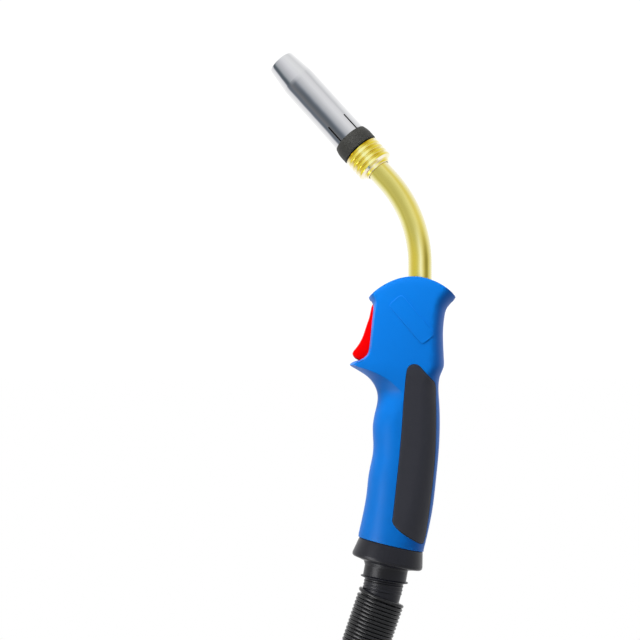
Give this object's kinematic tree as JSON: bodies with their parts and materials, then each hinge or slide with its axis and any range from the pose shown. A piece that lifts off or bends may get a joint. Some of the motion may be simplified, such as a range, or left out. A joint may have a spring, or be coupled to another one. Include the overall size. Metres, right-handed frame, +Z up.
{
  "type": "mig welding torch",
  "caption": "Gas-cooled MIG welding torch: two-shell trigger handle, turned swan neck with finned head and slotted gas nozzle, ball-jointed cable outlet with bend spring.",
  "frame": {"origin": "centre of the bounding box footprint, at the torch's lowest point", "axes": "+Z up along the handle towards the neck, -X the trigger side, +Y towards the right-hand shell"},
  "size_m": [0.109, 0.0602, 0.4069],
  "materials": {
    "blue_nylon": "moulded glass-filled nylon, fine matt texture",
    "soft_grip": "overmoulded soft grip, matt",
    "red_plastic": "moulded, satin gloss",
    "black_plastic": "moulded, satin",
    "insulator": "moulded heat-resistant resin, satin",
    "tube_brass": "drawn tube, brushed lacquered",
    "head_brass": "turned, bright",
    "plated_steel": "polished plating",
    "steel": "zinc plated",
    "spring_steel": "black coated spring wire",
    "copper": "bare copper",
    "ceramic": "white sintered",
    "nylon_natural": "natural nylon hose",
    "cable_rubber": "extruded cable jacket, matt",
    "core_red": "thin core insulation",
    "core_yellow": "thin core insulation"
  },
  "bodies": {
    "handle": {"handle_left_shell": "blue_nylon", "handle_right_shell": "blue_nylon", "grip_inlay_left": "soft_grip", "grip_inlay_right": "soft_grip", "handle_screw_1": "steel", "handle_screw_2": "steel", "handle_screw_3": "steel", "handle_screw_4": "steel", "neck_clamp": "black_plastic", "trigger_pin": "steel", "trigger_return_spring": "steel", "switch_body": "black_plastic", "switch_terminal_a": "tube_brass", "switch_terminal_b": "tube_brass", "switch_lead_a": "core_red", "switch_lead_b": "core_yellow", "cable_nut": "tube_brass", "crimp_ferrule": "copper", "handle_cable_jacket": "cable_rubber", "handle_conductor": "copper", "handle_gas_hose": "nylon_natural"},
    "neck": {"swan_neck_tube": "tube_brass", "neck_inner_tube": "copper", "neck_liner": "steel", "neck_ferrule": "tube_brass", "neck_head": "head_brass", "insulator_ring": "insulator", "nozzle_seat_sleeve": "insulator", "gas_diffuser": "ceramic", "tip_holder": "tube_brass", "contact_tip": "copper"},
    "nozzle": {"gas_nozzle": "plated_steel"},
    "trigger": {"trigger": "red_plastic"},
    "switch_plunger": {"switch_plunger": "nylon_natural"},
    "collar": {"rear_collar": "black_plastic"},
    "outlet": {"ball_stem": "black_plastic", "bend_spring": "spring_steel", "cable_jacket": "cable_rubber", "cable_conductor": "copper", "cable_gas_hose": "nylon_natural", "wire_liner": "steel", "control_core_a": "core_red", "control_core_b": "core_yellow"}
  },
  "joints": [
    {"name": "neck_turn", "type": "hinge", "parent": "handle", "child": "neck", "pos_m": [0.03372, -0.00926, 0.27241], "axis": [0, 0, 1], "range_deg": [-69, 111]},
    {"name": "nozzle_pull", "type": "slide", "parent": "neck", "child": "nozzle", "axis": [-0.6415, 0.2462, 0.7266], "range_m": [0, 0.07]},
    {"name": "trigger_pull", "type": "hinge", "parent": "handle", "child": "trigger", "pos_m": [0.01012, -0.00926, 0.25321], "axis": [0, -1, 0], "range_deg": [0, 7], "stiffness_Nm_per_rad": 0.4, "springref_deg": -3.44},
    {"name": "plunger_press", "type": "slide", "parent": "handle", "child": "switch_plunger", "axis": [1, 0, 0], "range_m": [0, 0.00194]},
    {"name": "collar_turn", "type": "hinge", "parent": "handle", "child": "collar", "pos_m": [0.01672, -0.00926, 0.11491], "axis": [-0.2284, 0, -0.9736], "range_deg": [-90, 90]},
    {"name": "outlet_tilt", "type": "hinge", "parent": "collar", "child": "outlet", "pos_m": [0.01501, -0.00926, 0.10761], "axis": [0, 1, 0], "range_deg": [-5.6, 12.4]}
  ],
  "couplings": [
    {"joint": "plunger_press", "follows": "trigger_pull", "m_per_rad": 0.0158}
  ]
}
